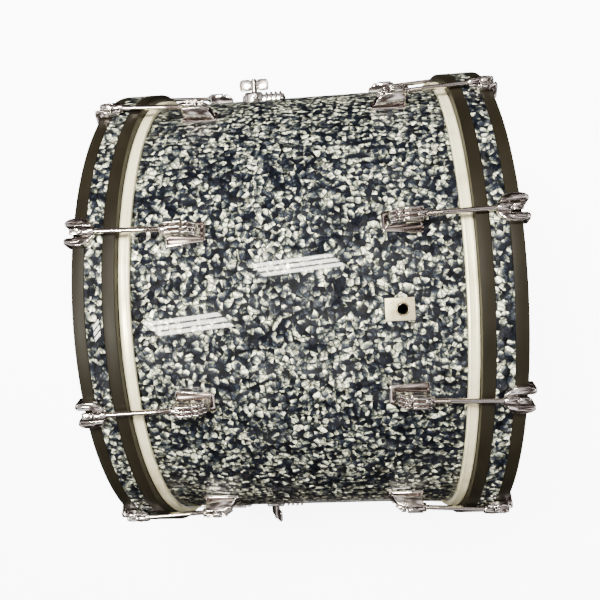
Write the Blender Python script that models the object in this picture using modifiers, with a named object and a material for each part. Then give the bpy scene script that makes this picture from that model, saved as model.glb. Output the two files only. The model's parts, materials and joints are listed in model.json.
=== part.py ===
"""Bass drum, 22 in across and 16 in deep, with ten tension rods a side.

Metres, +Z up. The drum lies on its side with its axis along X: the front
head faces -X and the batter head +X. The origin is on the floor, below the
middle of the drum. Angles round the shell start at the top and grow to +Y.
"""

from math import atan, cos, pi, radians, sin

import bmesh
import bpy
from mathutils import Matrix, Vector

# Driving dimensions
SHELL_R = 0.2794
SHELL_DEPTH = 0.4064
SHELL_WALL = 0.0075
BEARING_CHAMFER = 0.0055
BEARING_ROUND = 0.0019
HOOP_WALL = 0.0128
HOOP_WIDTH = 0.0440
HOOP_OVERHANG = 0.0186
INLAY_WIDTH = 0.0175
INLAY_THICKNESS = 0.0010
INLAY_OFFSET = 0.0132
FILM_THICKNESS = 0.0010
FLESH_HOOP_WALL = 0.0052
FLESH_HOOP_HEIGHT = 0.0110
RODS_PER_HEAD = 10
ROD_R = 0.0030
ROD_HEIGHT = 0.0172
ROD_DEPTH_IN_LUG = 0.0220
KEY_HEAD_SIDE = 0.00635
KEY_HEAD_LENGTH = 0.0098
COLLAR_R = 0.0047
COLLAR_THICKNESS = 0.0015
LUG_LENGTH = 0.0410
LUG_WIDTH = 0.0320
LUG_BASE_THICKNESS = 0.0060
LUG_RIDGE_WIDTH = 0.0140
LUG_SETBACK = 0.0742
CLAW_WIDTH = 0.0300
CLAW_REACH = 0.0235
CLAW_LIP = 0.0076
CLAW_DROP = 0.0100
CLAW_TOP_WALL = 0.0048
CLAW_NOSE_LENGTH = 0.0120
CLAW_NOSE_WIDTH = 0.0120
CLAW_SLOT_WIDTH = 0.0116
WALL_OVER_ROD = 0.0021
VENT_R = 0.0052
VENT_SLEEVE_WALL = 0.0010
VENT_FLANGE_R = 0.0070
VENT_FLANGE_THICKNESS = 0.0012
BADGE_LENGTH = 0.0290
BADGE_WIDTH = 0.0226
BADGE_THICKNESS = 0.0010
BADGE_SETBACK = 0.1010
VENT_OFFSET_IN_BADGE = 0.0027
SPUR_TO_LUG = 0.0035
SPUR_PLATE_LENGTH = 0.0660
SPUR_PLATE_LEAD = 0.0190
SPUR_PLATE_WIDTH = 0.0340
SPUR_PLATE_THICKNESS = 0.0060
SPUR_BLOCK_LENGTH = 0.0260
SPUR_BLOCK_WALL = 0.0024
SPUR_RIB_LENGTH = 0.0260
SPUR_RIB_HEIGHT = 0.0110
LEG_R = 0.00475
LEG_LEAN_FORWARD = 0.30
LEG_LEAN_OUT = 0.16
LEG_STUB = 0.0350
LEG_TO_SHELL = 0.0115
FOOT_R = 0.0115
FOOT_LENGTH = 0.0340
WING_POST_R = 0.0030
WING_HUB_R = 0.0042
WING_NECK = 0.0046
WING_SPAN = 0.0420
WING_HEIGHT = 0.0165
WING_THICKNESS = 0.0035
WING_REST_TURN = {"left": 65.0, "right": 0.0}

# Clearances
SEAT_GAP = 0.0003
ROD_CLEARANCE = 0.0004
COLLAR_TO_HOOP = 0.00135
HOOP_TO_FILM = 0.0015
INLAY_SINK = 0.0001

# Facets: a multiple of the rods, so that a flat lies under each of them
RING_SEGMENTS = RODS_PER_HEAD * 6
ROD_SEGMENTS = 12
BORE_SEGMENTS = 16
TINY = 0.00001

# Derived places along the axis
HALF_DEPTH = SHELL_DEPTH / 2
HOOP_END = HALF_DEPTH + HOOP_OVERHANG
HOOP_START = HOOP_END - HOOP_WIDTH
INLAY_START = HOOP_START + INLAY_OFFSET
INLAY_END = INLAY_START + INLAY_WIDTH
FLESH_END = HOOP_START - SEAT_GAP
FLESH_START = FLESH_END - FLESH_HOOP_HEIGHT
LUG_END = HALF_DEPTH - LUG_SETBACK
LUG_TAIL = LUG_END - LUG_LENGTH
CLAW_START = HOOP_END - CLAW_REACH
CLAW_END = HOOP_END + CLAW_LIP
ROD_SEAT = CLAW_START + CLAW_NOSE_LENGTH
BADGE_X = HALF_DEPTH - BADGE_SETBACK
VENT_X = BADGE_X + VENT_OFFSET_IN_BADGE
SPUR_X = SPUR_PLATE_LEAD + SPUR_TO_LUG - LUG_TAIL

# Derived distances from the axis, where a flat is nearer than a corner
FLAT = cos(pi / RING_SEGMENTS)
COLLAR_INNER_R = SHELL_R + SEAT_GAP
COLLAR_OUTER_R = COLLAR_INNER_R + FILM_THICKNESS
FLESH_INNER_R = COLLAR_OUTER_R + SEAT_GAP
FLESH_OUTER_R = FLESH_INNER_R + FLESH_HOOP_WALL
HOOP_INNER_R = COLLAR_OUTER_R + HOOP_TO_FILM
HOOP_R = HOOP_INNER_R + HOOP_WALL
HOOP_FLAT = HOOP_R * FLAT
SHELL_FLAT = SHELL_R * FLAT
AXIS_Z = HOOP_FLAT
SLEEVE_R = VENT_R + VENT_SLEEVE_WALL
VENT_HOLE_R = SLEEVE_R + SEAT_GAP
LEG_Y = SHELL_FLAT + LEG_TO_SHELL
LEG_SKIN = LEG_Y + LEG_R * (1 + LEG_LEAN_OUT) + SEAT_GAP
BLOCK_TOP = LEG_SKIN + SPUR_BLOCK_WALL

# A rod leaves its lug at one height and clears the hoop with its collar
ROD_LUG_R = SHELL_FLAT + ROD_HEIGHT
ROD_CLAW_R = HOOP_FLAT + COLLAR_R + COLLAR_TO_HOOP
ROD_SPLAY = (ROD_CLAW_R - ROD_LUG_R) / (ROD_SEAT - LUG_END)
ROD_TILT = atan(ROD_SPLAY)
SIDES = {"front": -1, "batter": 1}
HANDS = {"left": -1, "right": 1}


def clear_scene():
    for item in list(bpy.data.objects):
        bpy.data.objects.remove(item, do_unlink=True)


def new_collection(name):
    group = bpy.data.collections.new(name)
    bpy.context.scene.collection.children.link(group)
    return group


def new_material(name, color, roughness, metallic):
    paint = bpy.data.materials.new(name)
    paint.use_nodes = True
    shader = paint.node_tree.nodes["Principled BSDF"]
    shader.inputs["Base Color"].default_value = (*color, 1.0)
    shader.inputs["Roughness"].default_value = roughness
    shader.inputs["Metallic"].default_value = metallic
    paint.diffuse_color = (*color, 1.0)
    return paint


def new_object(name, mesh, group):
    piece = bpy.data.objects.new(name, mesh)
    group.objects.link(piece)
    return piece


def finish_piece(piece, paint):
    """Give a piece its own material and smooth its round faces."""
    piece.data.materials.clear()
    piece.data.materials.append(paint)
    piece.data.shade_smooth()
    piece.data.set_sharp_from_angle(angle=radians(35))


def mesh_from(build):
    """Run one bmesh recipe and return its mesh."""
    mesh = bpy.data.meshes.new("shape")
    work = bmesh.new()
    build(work)
    bmesh.ops.recalc_face_normals(work, faces=work.faces)
    work.to_mesh(mesh)
    work.free()
    return mesh


def box_mesh(low, high):
    low, high = Vector(low), Vector(high)
    spans = high - low
    place = Matrix.Translation((low + high) / 2) @ Matrix.Diagonal((*spans, 1.0))
    return mesh_from(lambda work: bmesh.ops.create_cube(work, size=1.0, matrix=place))


def rod_mesh(start, end, radius, segments, end_radius=None):
    """A closed round bar or cone between two points."""
    start, end = Vector(start), Vector(end)
    run = end - start
    turn = run.to_track_quat("Z", "Y").to_matrix().to_4x4()
    place = Matrix.Translation((start + end) / 2) @ turn
    place = place @ Matrix.Rotation(pi / segments, 4, "Z")
    last = radius if end_radius is None else end_radius

    def build(work):
        bmesh.ops.create_cone(
            work, cap_ends=True, segments=segments, radius1=radius, radius2=last,
            depth=run.length, matrix=place)
    return mesh_from(build)


def turned_piece(name, profile, group, steps=RING_SEGMENTS):
    """Turn (radius, height) points round local Z, as one closed body.

    A profile that starts and ends on the axis makes a disc, any other a ring.
    The start angle is half a step, so a flat faces each whole step.
    """
    pairs = list(zip(profile, profile[1:] + profile[:1]))
    area = sum(a[0] * b[1] - b[0] * a[1] for a, b in pairs)
    points = profile if area < 0 else profile[::-1]
    on_axis = points[0][0] < TINY and points[-1][0] < TINY
    half = pi / steps
    mesh = bpy.data.meshes.new(name)
    work = bmesh.new()
    spots = [work.verts.new((r * cos(half), r * sin(half), z)) for r, z in points]
    for first, second in zip(spots, spots[1:]):
        work.edges.new((first, second))
    if not on_axis:
        work.edges.new((spots[-1], spots[0]))
    work.to_mesh(mesh)
    work.free()
    piece = new_object(name, mesh, group)
    turn = piece.modifiers.new("turn", "SCREW")
    turn.axis = "Z"
    turn.angle = 2 * pi
    turn.steps = steps
    turn.render_steps = steps
    turn.use_merge_vertices = True
    turn.merge_threshold = TINY
    return piece


def bevel(piece, width, segments=1):
    edge = piece.modifiers.new("edges", "BEVEL")
    edge.width = width
    edge.segments = segments
    edge.limit_method = "ANGLE"
    edge.angle_limit = radians(40)
    return edge


def bake(piece):
    """Replace a piece's mesh by its evaluated one and drop its modifiers."""
    bpy.context.view_layer.update()
    graph = bpy.context.evaluated_depsgraph_get()
    mesh = bpy.data.meshes.new_from_object(piece.evaluated_get(graph))
    piece.modifiers.clear()
    piece.data = mesh
    return piece


def combine(piece, tools, operation):
    """Join tool solids to a piece, or cut them from it, and bake the result."""
    for tool in tools:
        step = piece.modifiers.new("solid", "BOOLEAN")
        step.object = tool
        step.operation = operation
        step.solver = "EXACT"
        bake(piece)
    for tool in tools:
        bpy.data.objects.remove(tool, do_unlink=True)
    return piece


def guide(name, mesh, cutters):
    tool = new_object(name, mesh, cutters)
    tool.hide_render = True
    tool.display_type = "WIRE"
    return tool


def station(side, angle):
    """Frame of a rod's place: X out along the axis, Z out from the shell."""
    facing = Matrix.Rotation(0 if side > 0 else pi, 4, "Z")
    return Matrix.Translation((0, 0, AXIS_Z)) @ Matrix.Rotation(-angle, 4, "X") @ facing


def rod_angles():
    step = 2 * pi / RODS_PER_HEAD
    return [step * (index + 0.5) for index in range(RODS_PER_HEAD)]


def lay_along_x(piece, side):
    """Lay a turned piece on the drum's axis, its local Z pointing outwards."""
    piece.matrix_world = Matrix.Translation((0, 0, AXIS_Z)) @ Matrix.Rotation(
        side * pi / 2, 4, "Y")


def make_shell(parts, cutters, paint):
    inner = SHELL_R - SHELL_WALL
    tip = SHELL_R - BEARING_ROUND
    edge = HALF_DEPTH - BEARING_ROUND
    slope = HALF_DEPTH - BEARING_CHAMFER
    profile = [
        (SHELL_R, edge), (SHELL_R, -edge), (tip, -HALF_DEPTH),
        (inner, -slope), (inner, slope), (tip, HALF_DEPTH)]
    shell = turned_piece("shell", profile, parts)
    lay_along_x(shell, 1)
    vent = guide("vent_cutter", rod_mesh(
        (VENT_X, 0, AXIS_Z + inner - SHELL_WALL), (VENT_X, 0, AXIS_Z + SHELL_R + SHELL_WALL),
        VENT_HOLE_R, BORE_SEGMENTS), cutters)
    combine(shell, [vent], "DIFFERENCE")
    finish_piece(shell, paint)


def make_head(label, side, parts, film_paint, hoop_paint):
    """A head: the film with its collar, and the flesh hoop that holds it."""
    seat = HALF_DEPTH + SEAT_GAP
    face = seat + FILM_THICKNESS
    tip = SHELL_R - BEARING_ROUND
    foot = FLESH_START + FILM_THICKNESS
    film_profile = [
        (0, face), (tip, face), (COLLAR_OUTER_R, face - BEARING_ROUND - FILM_THICKNESS),
        (COLLAR_OUTER_R, foot), (COLLAR_INNER_R, foot),
        (COLLAR_INNER_R, seat - BEARING_ROUND), (tip, seat), (0, seat)]
    film = turned_piece(label + "_head", film_profile, parts)
    lay_along_x(film, side)
    bake(film)
    finish_piece(film, film_paint)
    ring_profile = [
        (FLESH_OUTER_R, FLESH_END), (FLESH_OUTER_R, FLESH_START),
        (FLESH_INNER_R, FLESH_START), (FLESH_INNER_R, FLESH_END)]
    ring = turned_piece(label + "_flesh_hoop", ring_profile, parts)
    lay_along_x(ring, side)
    bake(ring)
    finish_piece(ring, hoop_paint)


def claw_solid(name, cutters):
    """One claw in its station's frame: plate, lip, nose, slot and rod hole."""
    half = CLAW_WIDTH / 2
    under = HOOP_FLAT + SEAT_GAP
    plate_top = under + CLAW_TOP_WALL
    rod_top = rod_radius_at(ROD_SEAT) + ROD_R + ROD_CLEARANCE
    crown = rod_top + WALL_OVER_ROD
    claw = guide(name, box_mesh((CLAW_START, -half, under), (CLAW_END, half, plate_top)), cutters)
    bevel(claw, 0.0012)
    bake(claw)
    lip = guide("lip", box_mesh(
        (HOOP_END - SEAT_GAP, -half + 0.001, HOOP_FLAT - CLAW_DROP),
        (CLAW_END - 0.001, half - 0.001, plate_top - 0.002)), cutters)
    nose = guide("nose", box_mesh(
        (CLAW_START - 0.0015, -CLAW_NOSE_WIDTH / 2, under + 0.0006),
        (ROD_SEAT, CLAW_NOSE_WIDTH / 2, crown)), cutters)
    bevel(nose, 0.0025)
    bake(nose)
    combine(claw, [lip, nose], "UNION")
    slot = guide("slot", box_mesh(
        (ROD_SEAT, -CLAW_SLOT_WIDTH / 2, HOOP_FLAT - CLAW_DROP - 0.01),
        (CLAW_END + 0.01, CLAW_SLOT_WIDTH / 2, crown + 0.01)), cutters)
    reach = 0.03
    hole = guide("hole", rod_mesh(
        (ROD_SEAT - reach, 0, rod_radius_at(ROD_SEAT - reach)),
        (ROD_SEAT + reach, 0, rod_radius_at(ROD_SEAT + reach)),
        ROD_R + ROD_CLEARANCE, ROD_SEGMENTS), cutters)
    combine(claw, [slot, hole], "DIFFERENCE")
    return claw


def rod_radius_at(x):
    """Distance of a rod's centre line from the drum's axis, at a place along it."""
    return ROD_LUG_R + (x - LUG_END) * ROD_SPLAY


def make_hoop(label, side, parts, cutters, hoop_paint, inlay_paint):
    """A wooden hoop with its ten claws, and the inlay band let into it."""
    floor = HOOP_R - INLAY_THICKNESS - INLAY_SINK - SEAT_GAP
    low = INLAY_START - SEAT_GAP
    high = INLAY_END + SEAT_GAP
    profile = [
        (HOOP_R, HOOP_END), (HOOP_R, high), (floor, high), (floor, low), (HOOP_R, low),
        (HOOP_R, HOOP_START), (HOOP_INNER_R, HOOP_START), (HOOP_INNER_R, HOOP_END)]
    hoop = turned_piece(label + "_hoop", profile, parts)
    lay_along_x(hoop, side)
    bake(hoop)
    master = claw_solid("claw_master", cutters)
    claws = []
    for index, angle in enumerate(rod_angles()):
        copy = guide("claw_%d" % index, master.data, cutters)
        copy.matrix_world = station(side, angle)
        claws.append(copy)
    bpy.data.objects.remove(master, do_unlink=True)
    combine(hoop, claws, "UNION")
    finish_piece(hoop, hoop_paint)
    top = HOOP_R - INLAY_SINK
    bottom = top - INLAY_THICKNESS
    band_profile = [
        (top, INLAY_END), (top, INLAY_START), (bottom, INLAY_START), (bottom, INLAY_END)]
    band = turned_piece(label + "_hoop_inlay", band_profile, parts)
    lay_along_x(band, side)
    bake(band)
    finish_piece(band, inlay_paint)


def lug_solid(cutters):
    """One lug in its station's frame: base, tapering ridge and rod bore."""
    base_z = SHELL_FLAT + SEAT_GAP
    half = LUG_WIDTH / 2
    crown = rod_radius_at(LUG_END) + ROD_R + 0.0030
    lug = guide("lug_base", box_mesh(
        (LUG_TAIL, -half, base_z), (LUG_END, half, base_z + LUG_BASE_THICKNESS)), cutters)
    bevel(lug, 0.0022)
    bake(lug)
    ridge_mesh = box_mesh(
        (LUG_TAIL + 0.003, -LUG_RIDGE_WIDTH / 2, base_z + 0.002),
        (LUG_END - 0.001, LUG_RIDGE_WIDTH / 2, crown))
    for vertex in ridge_mesh.vertices:
        if vertex.co.z > crown - TINY and vertex.co.x < LUG_END - LUG_LENGTH / 2:
            vertex.co.x += LUG_LENGTH * 0.22
    ridge = guide("ridge", ridge_mesh, cutters)
    bevel(ridge, 0.0030)
    bake(ridge)
    collar = guide("collar", rod_mesh(
        (LUG_END - 0.006, 0, rod_radius_at(LUG_END - 0.006)),
        (LUG_END + 0.003, 0, rod_radius_at(LUG_END + 0.003)),
        ROD_R + 0.0026, ROD_SEGMENTS), cutters)
    combine(lug, [ridge, collar], "UNION")
    deep = LUG_END - ROD_DEPTH_IN_LUG - 0.002
    bore = guide("bore", rod_mesh(
        (deep, 0, rod_radius_at(deep)), (LUG_END + 0.01, 0, rod_radius_at(LUG_END + 0.01)),
        ROD_R + ROD_CLEARANCE, ROD_SEGMENTS), cutters)
    combine(lug, [bore], "DIFFERENCE")
    return lug


def rod_solid(cutters):
    """One tension rod along local X from its thread's end: shaft, collar, head."""
    start = LUG_END - ROD_DEPTH_IN_LUG
    seat = (ROD_SEAT + SEAT_GAP - start) / cos(ROD_TILT)
    half = KEY_HEAD_SIDE / 2
    rod = guide("rod", rod_mesh((0, 0, 0), (seat + 0.0005, 0, 0), ROD_R, ROD_SEGMENTS), cutters)
    collar = guide("collar", rod_mesh(
        (seat, 0, 0), (seat + COLLAR_THICKNESS, 0, 0), COLLAR_R, ROD_SEGMENTS), cutters)
    head = guide("head", box_mesh(
        (seat + COLLAR_THICKNESS - 0.0004, -half, -half),
        (seat + COLLAR_THICKNESS + KEY_HEAD_LENGTH, half, half)), cutters)
    bevel(head, 0.0007)
    bake(head)
    combine(rod, [collar, head], "UNION")
    return rod


def make_tension(label, side, parts, lug, rod, lug_paint, rod_paint):
    """The lugs and tension rods of one head, all round the shell."""
    start = LUG_END - ROD_DEPTH_IN_LUG
    along = Matrix.Translation((start, 0, rod_radius_at(start))) @ Matrix.Rotation(
        -ROD_TILT, 4, "Y")
    for index, angle in enumerate(rod_angles(), start=1):
        frame = station(side, angle)
        block = new_object("%s_lug_%02d" % (label, index), lug.data, parts)
        block.matrix_world = frame
        screw = new_object("%s_tension_rod_%02d" % (label, index), rod.data, parts)
        screw.matrix_world = frame @ along
    finish_piece(lug, lug_paint)
    finish_piece(rod, rod_paint)


def make_badge(parts, cutters, badge_paint, vent_paint):
    """A plain badge plate on the top flat, and the vent sleeve through it."""
    low = AXIS_Z + SHELL_FLAT + SEAT_GAP
    top = low + BADGE_THICKNESS
    half_x, half_y = BADGE_LENGTH / 2, BADGE_WIDTH / 2
    badge = new_object("badge", box_mesh(
        (BADGE_X - half_x, -half_y, low), (BADGE_X + half_x, half_y, top)), parts)
    hole = guide("badge_hole", rod_mesh(
        (VENT_X, 0, low - 0.01), (VENT_X, 0, top + 0.01), VENT_HOLE_R, BORE_SEGMENTS), cutters)
    combine(badge, [hole], "DIFFERENCE")
    finish_piece(badge, badge_paint)
    flange = top + SEAT_GAP
    inside = AXIS_Z + SHELL_FLAT - SHELL_WALL - 0.002
    profile = [
        (VENT_FLANGE_R, flange + VENT_FLANGE_THICKNESS), (VENT_FLANGE_R, flange),
        (SLEEVE_R, flange), (SLEEVE_R, inside), (VENT_R, inside),
        (VENT_R, flange + VENT_FLANGE_THICKNESS)]
    vent = turned_piece("vent_grommet", profile, parts, BORE_SEGMENTS)
    vent.location = (VENT_X, 0, 0)
    finish_piece(vent, vent_paint)


def make_spur(label, hand, parts, cutters, paints):
    """One spur: bracket on the shell, sliding leg, rubber foot and wing bolt."""
    def world(x, out, up):
        return Vector((x, hand * out, AXIS_Z + up))

    def block(name, x_low, x_high, out_low, out_high, half_height):
        a = world(x_low, out_low, -half_height)
        b = world(x_high, out_high, half_height)
        low = Vector([min(p, q) for p, q in zip(a, b)])
        high = Vector([max(p, q) for p, q in zip(a, b)])
        return guide(name, box_mesh(low, high), cutters)

    base = SHELL_FLAT + SEAT_GAP
    plate_start = SPUR_X - SPUR_PLATE_LEAD
    block_end = SPUR_X + SPUR_BLOCK_LENGTH / 2
    plate = block("plate", plate_start, plate_start + SPUR_PLATE_LENGTH, base,
                  base + SPUR_PLATE_THICKNESS, SPUR_PLATE_WIDTH / 2)
    bevel(plate, 0.0020)
    bake(plate)
    body = block("block", SPUR_X - SPUR_BLOCK_LENGTH / 2, block_end, base + 0.002, BLOCK_TOP, 0.0135)
    bevel(body, 0.0030)
    bake(body)
    rib = block("rib", block_end - 0.002, block_end + SPUR_RIB_LENGTH - 0.002, base + 0.002,
                base + SPUR_RIB_HEIGHT, 0.0090)
    bevel(rib, 0.0025)
    bake(rib)
    combine(plate, [body, rib], "UNION")
    pivot = world(SPUR_X, LEG_Y, 0)
    lean = Vector((-LEG_LEAN_FORWARD, hand * LEG_LEAN_OUT, -1.0))
    down = lean.normalized()
    leg_top = pivot - down * LEG_STUB
    to_floor = AXIS_Z / -down.z
    leg_hole = guide("leg_hole", rod_mesh(
        pivot - down * 0.05, pivot + down * 0.05, LEG_R + ROD_CLEARANCE, BORE_SEGMENTS), cutters)
    bolt_hole = guide("bolt_hole", rod_mesh(
        world(SPUR_X, LEG_Y, 0), world(SPUR_X, BLOCK_TOP + 0.01, 0),
        WING_POST_R + ROD_CLEARANCE, ROD_SEGMENTS), cutters)
    combine(plate, [leg_hole, bolt_hole], "DIFFERENCE")
    bracket = new_object(label + "_spur_bracket", plate.data, parts)
    bpy.data.objects.remove(plate, do_unlink=True)
    finish_piece(bracket, paints["cast"])

    leg_end = to_floor - FOOT_LENGTH * 0.40
    leg_length = LEG_STUB + leg_end
    leg = new_object(label + "_spur_leg", rod_mesh(
        (0, 0, 0), (0, 0, leg_length), LEG_R, BORE_SEGMENTS), parts)
    leg.matrix_world = Matrix.Translation(leg_top) @ down.to_track_quat("Z", "Y").to_matrix().to_4x4()
    bevel(leg, 0.0008)
    finish_piece(leg, paints["steel"])

    foot = guide("foot", rod_mesh(
        pivot + down * (to_floor - FOOT_LENGTH), pivot + down * (to_floor + FOOT_LENGTH),
        FOOT_R * 0.78, BORE_SEGMENTS, FOOT_R * 1.1), cutters)
    under = guide("under_floor", box_mesh(
        (-0.5, -0.5, -0.2), (0.5, 0.5, 0.0)), cutters)
    socket = guide("socket", rod_mesh(
        pivot, pivot + down * (leg_end + SEAT_GAP), LEG_R + SEAT_GAP, BORE_SEGMENTS), cutters)
    combine(foot, [under, socket], "DIFFERENCE")
    tip = new_object(label + "_spur_foot", foot.data, parts)
    bpy.data.objects.remove(foot, do_unlink=True)
    finish_piece(tip, paints["rubber"])

    hub_start = BLOCK_TOP + SEAT_GAP - LEG_Y
    wing_low = hub_start + WING_NECK
    wing_top = wing_low + WING_HEIGHT
    post = guide("post", rod_mesh(
        (0, 0, LEG_SKIN - LEG_Y), (0, 0, wing_low), WING_POST_R, ROD_SEGMENTS), cutters)
    hub = guide("hub", rod_mesh(
        (0, 0, hub_start), (0, 0, wing_top), WING_HUB_R, ROD_SEGMENTS), cutters)
    wings = guide("wings", box_mesh(
        (-WING_SPAN / 2, -WING_THICKNESS / 2, wing_low),
        (WING_SPAN / 2, WING_THICKNESS / 2, wing_top - SEAT_GAP)), cutters)
    bevel(wings, 0.0012)
    bake(wings)
    combine(post, [hub, wings], "UNION")
    bolt = new_object(label + "_spur_wing_bolt", post.data, parts)
    bpy.data.objects.remove(post, do_unlink=True)
    bolt.matrix_world = Matrix.Translation(world(SPUR_X, LEG_Y, 0)) @ Matrix.Rotation(
        -hand * pi / 2, 4, "X") @ Matrix.Rotation(radians(WING_REST_TURN[label]), 4, "Z")
    finish_piece(bolt, paints["steel"])


def main():
    clear_scene()
    parts = new_collection("bass_drum")
    cutters = new_collection("cutters")
    pearl = new_material("pearl_wrap", (0.050, 0.055, 0.070), 0.18, 0.0)
    inlay = new_material("pearl_inlay", (0.300, 0.300, 0.300), 0.22, 0.0)
    lacquer = new_material("black_lacquer", (0.030, 0.026, 0.024), 0.35, 0.0)
    film = new_material("head_film", (0.820, 0.810, 0.770), 0.45, 0.0)
    flesh = new_material("flesh_hoop_metal", (0.720, 0.700, 0.640), 0.35, 0.8)
    cast = new_material("cast_chrome", (0.780, 0.790, 0.800), 0.16, 1.0)
    steel = new_material("plated_steel", (0.740, 0.750, 0.760), 0.20, 1.0)
    brass = new_material("badge_brass", (0.780, 0.660, 0.420), 0.30, 0.9)
    vent_metal = new_material("vent_chrome", (0.760, 0.760, 0.750), 0.20, 1.0)
    rubber = new_material("black_rubber", (0.030, 0.030, 0.032), 0.80, 0.0)

    make_shell(parts, cutters, pearl)
    lug = lug_solid(cutters)
    rod = rod_solid(cutters)
    for label, side in SIDES.items():
        make_head(label, side, parts, film, flesh)
        make_hoop(label, side, parts, cutters, lacquer, inlay)
        make_tension(label, side, parts, lug, rod, cast, steel)
    make_badge(parts, cutters, brass, vent_metal)
    for label, hand in HANDS.items():
        make_spur(label, hand, parts, cutters, {"cast": cast, "steel": steel, "rubber": rubber})


main()
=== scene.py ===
"""Looks of a bass drum: pearl-wrapped shell, inlaid hoops, heads and chromed fittings."""

import json
from math import atan2, cos, pi, radians, sin

import bmesh
import bpy
from bpy.props import FloatProperty, FloatVectorProperty, IntProperty, PointerProperty
from mathutils import Matrix, Vector


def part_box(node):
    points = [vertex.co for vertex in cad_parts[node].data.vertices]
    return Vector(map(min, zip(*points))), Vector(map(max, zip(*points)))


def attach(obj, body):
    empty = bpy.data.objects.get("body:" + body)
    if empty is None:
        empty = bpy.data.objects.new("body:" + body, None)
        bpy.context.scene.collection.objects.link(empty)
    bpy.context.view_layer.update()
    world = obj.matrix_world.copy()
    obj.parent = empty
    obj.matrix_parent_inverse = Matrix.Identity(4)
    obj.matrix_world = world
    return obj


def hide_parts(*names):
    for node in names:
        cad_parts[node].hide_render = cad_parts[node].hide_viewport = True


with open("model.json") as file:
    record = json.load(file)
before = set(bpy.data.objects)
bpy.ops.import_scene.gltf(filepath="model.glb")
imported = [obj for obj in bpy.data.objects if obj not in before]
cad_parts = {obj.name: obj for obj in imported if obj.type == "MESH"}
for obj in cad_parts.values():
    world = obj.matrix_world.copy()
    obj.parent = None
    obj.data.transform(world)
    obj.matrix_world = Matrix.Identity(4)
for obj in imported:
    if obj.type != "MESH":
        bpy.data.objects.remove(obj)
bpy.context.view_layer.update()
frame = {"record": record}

bl_info = {
    "name": "Bass Drum Looks",
    "version": (1, 0, 0),
    "blender": (4, 5, 0),
    "location": "3D View > Sidebar > Drum",
    "description": "Builds the finished surfaces of a bass drum round its mechanical frame",
    "category": "Object",
}

JOINTS = {joint["name"]: joint for joint in frame["record"]["behaviour"]["joints"]}
ENDS = {"front": -1, "batter": 1}
HANDS = {"left": -1, "right": 1}
RODS = 10

# Places read from the frame
SHELL_LOW, SHELL_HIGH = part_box("shell")
AXIS_Z = (SHELL_LOW[2] + SHELL_HIGH[2]) / 2
SHELL_R = (SHELL_HIGH[2] - SHELL_LOW[2]) / 2
HALF_DEPTH = SHELL_HIGH[0]
INLAY_LOW, INLAY_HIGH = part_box("batter_hoop_inlay")
HOOP_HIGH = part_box("batter_hoop")[1]
FLESH_LOW, FLESH_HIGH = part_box("batter_flesh_hoop")
HEAD_LOW, HEAD_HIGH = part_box("batter_head")
LUG_LOW, LUG_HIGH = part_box("batter_lug_01")
BADGE_LOW, BADGE_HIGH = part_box("badge")
VENT_LOW, VENT_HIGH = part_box("vent_grommet")
HOOP_R = AXIS_Z
FLESH_R = FLESH_HIGH[2] - AXIS_Z
HEAD_R = HEAD_HIGH[2] - AXIS_Z
CLAW_END = HOOP_HIGH[0]

# Sizes of the fittings, in metres
SHELL_WALL = 0.0075
HOOP_WALL = 0.0125
HOOP_WIDTH = 0.0440
CLAW_LIP = 0.0076
HOOP_END = CLAW_END - CLAW_LIP
HOOP_START = HOOP_END - HOOP_WIDTH
CLAW_START = HOOP_END - 0.0235
ROD_SEAT = CLAW_START + 0.0120
FILM = 0.0010
ROD_R = 0.0030
VENT_X = (VENT_LOW[0] + VENT_HIGH[0]) / 2
VENT_R = 0.0052
VENT_HOLE_R = VENT_R + 0.0012
KEY_WIDTH = 0.0063
GAP = 0.0003
MERGE = 0.00001
LUG_END = LUG_HIGH[0] - 0.0031
LUG_TAIL = LUG_LOW[0]
LEG_R = 0.00475
FOOT_LENGTH = 0.0340
CEILING_TURN = radians(17.0)
CEILING_HEIGHT = 2.7
BACKDROP = 6.0
WING_TURN = {"left": radians(65.0), "right": 0.0}


# ---------------------------------------------------------------- shader maths

def fill_ramp(ramp, stops):
    """Give a colour ramp its (place, colour) stops."""
    while len(ramp.elements) < len(stops):
        ramp.elements.new(0.5)
    for element, (place, color) in zip(ramp.elements, stops):
        element.position = place
        element.color = (*color, 1.0)


class Flow:
    """A shader value. Arithmetic on it adds Math nodes to its paint."""

    def __init__(self, paint, socket):
        self.paint = paint
        self.socket = socket

    def maths(self, operation, first, second):
        return self.paint.node("ShaderNodeMath", {"operation": operation}, {0: first, 1: second})

    def __add__(self, other):
        return self.maths("ADD", self, other)

    __radd__ = __add__

    def __mul__(self, other):
        return self.maths("MULTIPLY", self, other)

    __rmul__ = __mul__


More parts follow.
